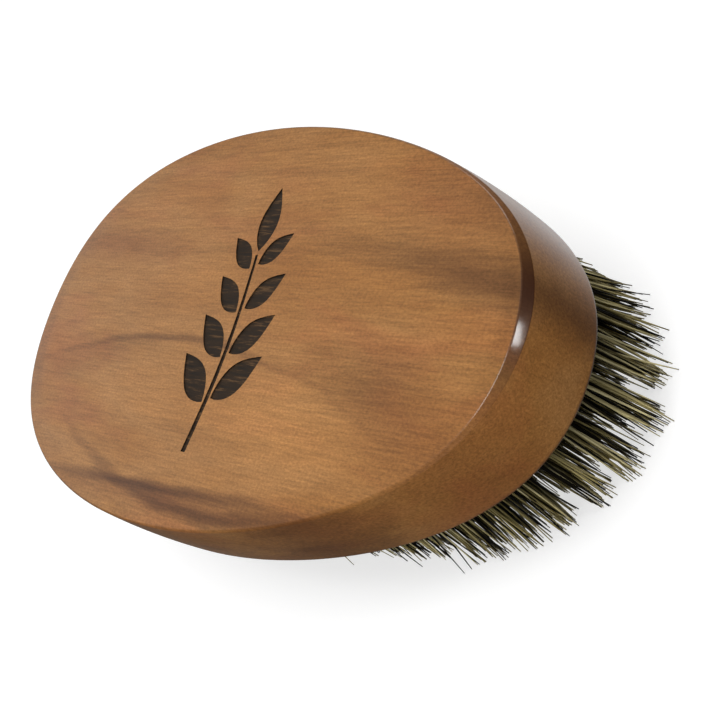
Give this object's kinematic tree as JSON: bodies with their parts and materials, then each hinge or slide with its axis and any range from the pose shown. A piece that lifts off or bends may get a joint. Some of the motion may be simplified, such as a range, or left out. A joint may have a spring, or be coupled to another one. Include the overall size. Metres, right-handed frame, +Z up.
{
  "type": "beard brush",
  "caption": "Oval palm beard brush with no handle: a flat lacquered wooden block with softened edges, and short splayed boar-bristle tufts set in drilled holes underneath.",
  "frame": {"origin": "centre of the oval on the plane of the bristle tips, where the brush stands", "axes": "+X along the brush towards its narrower end, +Y across it, +Z up through the flat palm face"},
  "size_m": [0.1, 0.054, 0.025],
  "materials": {
    "wood": "warm tan-brown pear wood with darker streaks under a satin-gloss lacquer",
    "bristle": "natural boar bristle, near-black roots mixed with olive-beige strands, dull sheen"
  },
  "bodies": {
    "root": {"handle": "wood", "outer_tuft_01": "bristle", "outer_tuft_02": "bristle", "outer_tuft_03": "bristle", "outer_tuft_04": "bristle", "outer_tuft_05": "bristle", "outer_tuft_06": "bristle", "outer_tuft_07": "bristle", "outer_tuft_08": "bristle", "outer_tuft_09": "bristle", "outer_tuft_10": "bristle", "outer_tuft_11": "bristle", "outer_tuft_12": "bristle", "outer_tuft_13": "bristle", "outer_tuft_14": "bristle", "outer_tuft_15": "bristle", "outer_tuft_16": "bristle", "outer_tuft_17": "bristle", "outer_tuft_18": "bristle", "outer_tuft_19": "bristle", "outer_tuft_20": "bristle", "outer_tuft_21": "bristle", "outer_tuft_22": "bristle", "outer_tuft_23": "bristle", "outer_tuft_24": "bristle", "outer_tuft_25": "bristle", "outer_tuft_26": "bristle", "outer_tuft_27": "bristle", "outer_tuft_28": "bristle", "outer_tuft_29": "bristle", "outer_tuft_30": "bristle", "outer_tuft_31": "bristle", "outer_tuft_32": "bristle", "outer_tuft_33": "bristle", "outer_tuft_34": "bristle", "outer_tuft_35": "bristle", "outer_tuft_36": "bristle", "outer_tuft_37": "bristle", "outer_tuft_38": "bristle", "outer_tuft_39": "bristle", "outer_tuft_40": "bristle", "outer_tuft_41": "bristle", "outer_tuft_42": "bristle", "outer_tuft_43": "bristle", "outer_tuft_44": "bristle", "outer_tuft_45": "bristle", "outer_tuft_46": "bristle", "outer_tuft_47": "bristle", "outer_tuft_48": "bristle", "outer_tuft_49": "bristle", "outer_tuft_50": "bristle", "tuft_oval_2": "bristle", "tuft_oval_3": "bristle", "tuft_oval_4": "bristle", "tuft_oval_5": "bristle", "tuft_centre_row": "bristle"}
  },
  "joints": []
}
